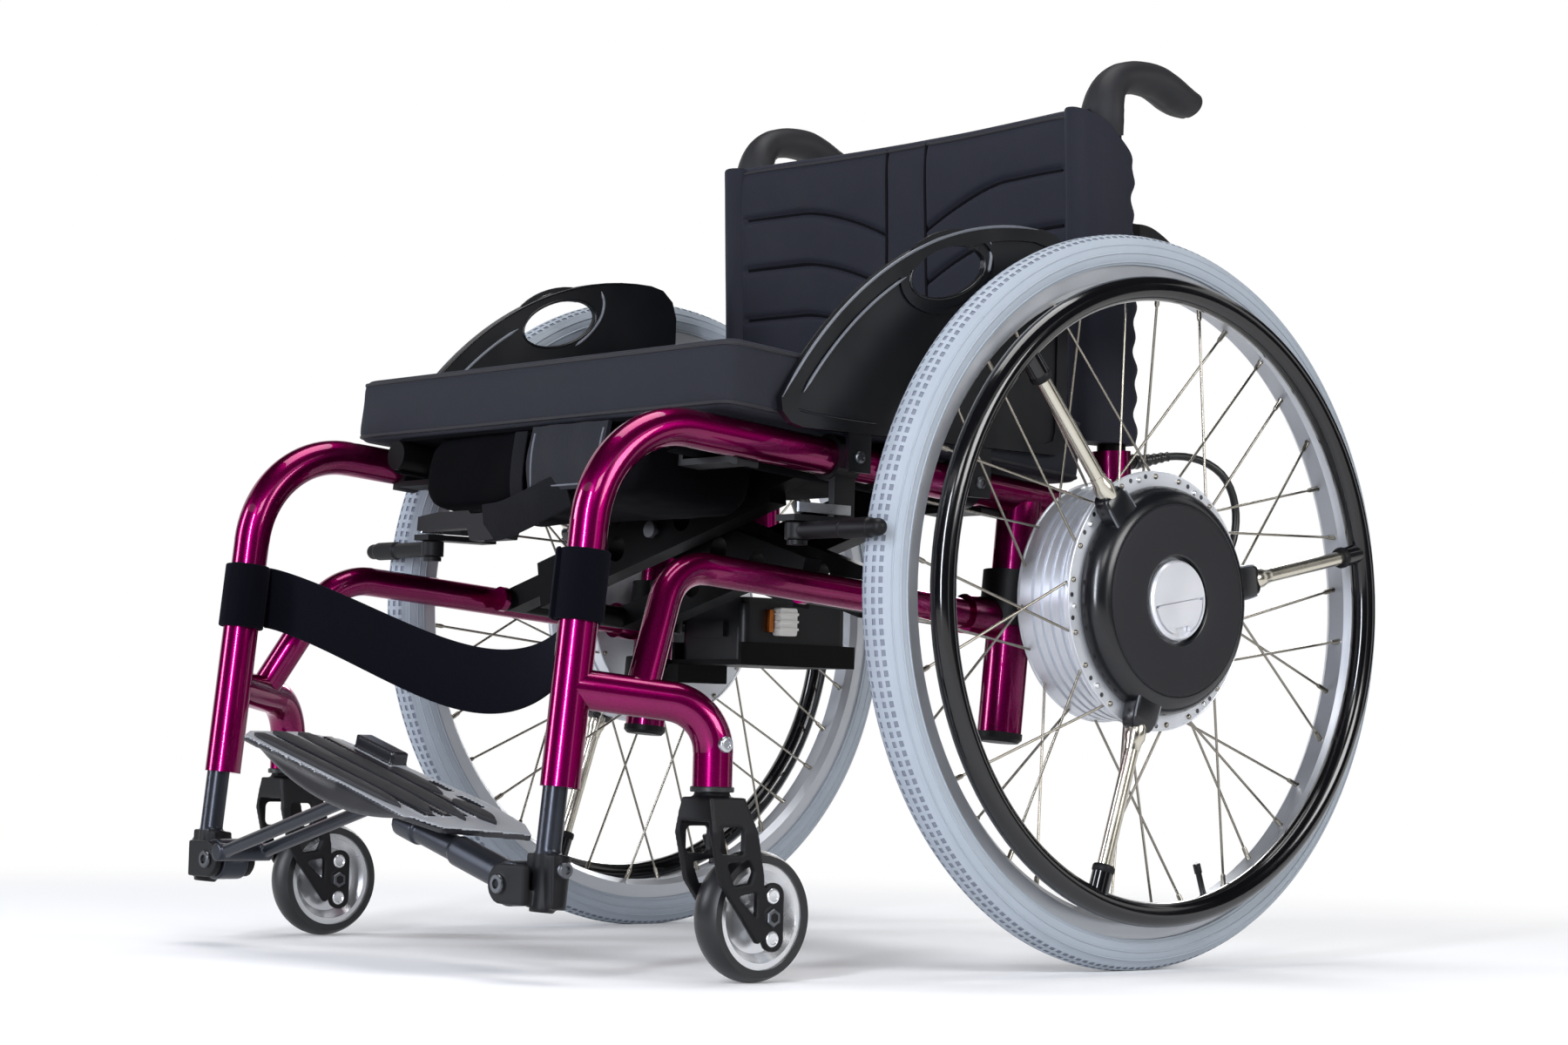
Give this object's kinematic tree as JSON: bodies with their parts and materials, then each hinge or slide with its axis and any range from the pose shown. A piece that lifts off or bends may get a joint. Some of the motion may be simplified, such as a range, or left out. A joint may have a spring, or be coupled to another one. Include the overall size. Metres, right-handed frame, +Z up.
{
  "type": "power-assisted folding wheelchair",
  "caption": "Folding active wheelchair whose spoked drive wheels have power-assist hub motors driven through torque-sensing handrims.",
  "frame": {"origin": "on the floor under the middle of the whole chair", "axes": "+Z up, front towards -Y, the chair's left side towards +X"},
  "size_m": [0.738, 0.8906, 0.7869],
  "materials": {
    "frame_paint": "metallic magenta lacquer, gloss",
    "black_fitting": "black, fine satin",
    "black_metal": "black powder coat",
    "gloss_black": "gloss black",
    "dark_cover": "dark grey moulded, satin",
    "hub_silver": "satin machined",
    "polished": "polished",
    "spoke_steel": "drawn wire",
    "grey_tyre": "pale grey rubber, fine lugs",
    "black_rubber": "matte",
    "fabric": "dark upholstery fabric",
    "iron": "laminated stack"
  },
  "bodies": {
    "right_frame": {"right_upper_tube": "frame_paint", "right_lower_frame": "frame_paint", "right_axle_tube": "frame_paint", "right_back_post": "black_metal", "right_push_grip": "black_rubber", "right_side_guard": "black_fitting", "right_foot_extension": "black_metal", "right_frame_fittings": "black_fitting", "right_axle_set": "hub_silver", "right_motor_core": "iron", "battery_tray": "black_fitting", "battery_pack": "black_fitting", "back_upholstery": "fabric", "calf_strap": "fabric"},
    "brace_a": {"brace_bar_a": "black_metal", "brace_pins": "spoke_steel", "seat_cushion": "fabric", "seat_sling": "fabric"},
    "brace_b": {"brace_bar_b": "black_metal"},
    "left_frame": {"left_upper_tube": "frame_paint", "left_lower_frame": "frame_paint", "left_axle_tube": "frame_paint", "left_back_post": "black_metal", "left_push_grip": "black_rubber", "left_side_guard": "black_fitting", "left_foot_extension": "black_metal", "left_frame_fittings": "black_fitting", "left_axle_set": "hub_silver", "left_motor_core": "iron", "left_motor_cable": "black_rubber"},
    "left_foot": {"left_foot_arm": "black_metal", "footplate": "black_fitting"},
    "right_foot": {"right_foot_links": "black_metal"},
    "left_wheel": {"left_tyre": "grey_tyre", "left_rim": "hub_silver", "left_spokes": "spoke_steel", "left_hub_shell": "hub_silver"},
    "left_push_ring": {"left_handrim": "gloss_black", "left_tie_rods": "polished", "left_hub_cover": "dark_cover", "left_release_cap": "polished"},
    "left_release": {"left_release_bail": "polished"},
    "left_caster": {"left_caster_fork": "black_metal"},
    "left_caster_wheel": {"left_caster_rim": "polished", "left_caster_tyre": "black_rubber"},
    "left_brake": {"left_brake_bar": "black_fitting"},
    "right_wheel": {"right_tyre": "grey_tyre", "right_rim": "hub_silver", "right_spokes": "spoke_steel", "right_hub_shell": "hub_silver"},
    "right_push_ring": {"right_handrim": "gloss_black", "right_tie_rods": "polished", "right_hub_cover": "dark_cover", "right_release_cap": "polished"},
    "right_release": {"right_release_bail": "polished"},
    "right_caster": {"right_caster_fork": "black_metal"},
    "right_caster_wheel": {"right_caster_rim": "polished", "right_caster_tyre": "black_rubber"},
    "right_brake": {"right_brake_bar": "black_fitting"}
  },
  "joints": [
    {"name": "fold", "type": "hinge", "parent": "right_frame", "child": "brace_a", "pos_m": [-0.203, -0.04662, 0.29691], "axis": [0, -0.9969, 0.0785], "range_deg": [0, 55], "deforming": ["seat_cushion", "seat_sling", "back_upholstery", "calf_strap"]},
    {"name": "brace_cross", "type": "hinge", "parent": "brace_a", "child": "brace_b", "pos_m": [0, -0.04219, 0.35324], "axis": [0, -0.9969, 0.0785], "range_deg": [-110, 0]},
    {"name": "left_frame_pivot", "type": "hinge", "parent": "brace_b", "child": "left_frame", "pos_m": [0.203, -0.04662, 0.29691], "axis": [0, -0.9969, 0.0785], "range_deg": [0, 55]},
    {"name": "left_foot_fold", "type": "hinge", "parent": "left_frame", "child": "left_foot", "pos_m": [0.205, -0.40329, 0.072], "axis": [0, 1, 0], "range_deg": [0, 55]},
    {"name": "right_foot_fold", "type": "hinge", "parent": "right_frame", "child": "right_foot", "pos_m": [-0.205, -0.40329, 0.072], "axis": [0, -1, 0], "range_deg": [0, 55]},
    {"name": "left_wheel_spin", "type": "hinge", "parent": "left_frame", "child": "left_wheel", "pos_m": [0.322, 0.1403, 0.305], "axis": [1, 0, 0], "continuous": true},
    {"name": "left_push", "type": "hinge", "parent": "left_wheel", "child": "left_push_ring", "pos_m": [0.322, 0.1403, 0.305], "axis": [1, 0, 0], "range_deg": [-3, 3], "stiffness_Nm_per_rad": 60},
    {"name": "left_release_lift", "type": "hinge", "parent": "left_push_ring", "child": "left_release", "pos_m": [0.3675, 0.14082, 0.30205], "axis": [0, -0.9848, -0.1736], "range_deg": [0, 90]},
    {"name": "left_caster_swivel", "type": "hinge", "parent": "left_frame", "child": "left_caster", "pos_m": [0.291, -0.2917, 0.1], "axis": [0, 0, 1], "continuous": true},
    {"name": "left_caster_spin", "type": "hinge", "parent": "left_caster", "child": "left_caster_wheel", "pos_m": [0.291, -0.2497, 0.05], "axis": [1, 0, 0], "continuous": true},
    {"name": "left_brake_swing", "type": "hinge", "parent": "left_frame", "child": "left_brake", "pos_m": [0.247, -0.1737, 0.347], "axis": [0, 0, -1], "range_deg": [0, 90]},
    {"name": "right_wheel_spin", "type": "hinge", "parent": "right_frame", "child": "right_wheel", "pos_m": [-0.322, 0.1403, 0.305], "axis": [1, 0, 0], "continuous": true},
    {"name": "right_push", "type": "hinge", "parent": "right_wheel", "child": "right_push_ring", "pos_m": [-0.322, 0.1403, 0.305], "axis": [1, 0, 0], "range_deg": [-3, 3], "stiffness_Nm_per_rad": 60},
    {"name": "right_release_lift", "type": "hinge", "parent": "right_push_ring", "child": "right_release", "pos_m": [-0.3675, 0.14082, 0.30205], "axis": [0, 0.9848, 0.1736], "range_deg": [0, 90]},
    {"name": "right_caster_swivel", "type": "hinge", "parent": "right_frame", "child": "right_caster", "pos_m": [-0.291, -0.2917, 0.1], "axis": [0, 0, 1], "continuous": true},
    {"name": "right_caster_spin", "type": "hinge", "parent": "right_caster", "child": "right_caster_wheel", "pos_m": [-0.291, -0.2497, 0.05], "axis": [1, 0, 0], "continuous": true},
    {"name": "right_brake_swing", "type": "hinge", "parent": "right_frame", "child": "right_brake", "pos_m": [-0.247, -0.1737, 0.347], "axis": [0, 0, 1], "range_deg": [0, 90]}
  ],
  "couplings": [
    {"joint": "brace_cross", "follows": "fold", "ratio": -2},
    {"joint": "left_frame_pivot", "follows": "fold", "ratio": 1},
    {"joint": "left_foot_fold", "follows": "fold", "ratio": 1},
    {"joint": "right_foot_fold", "follows": "fold", "ratio": 1}
  ]
}
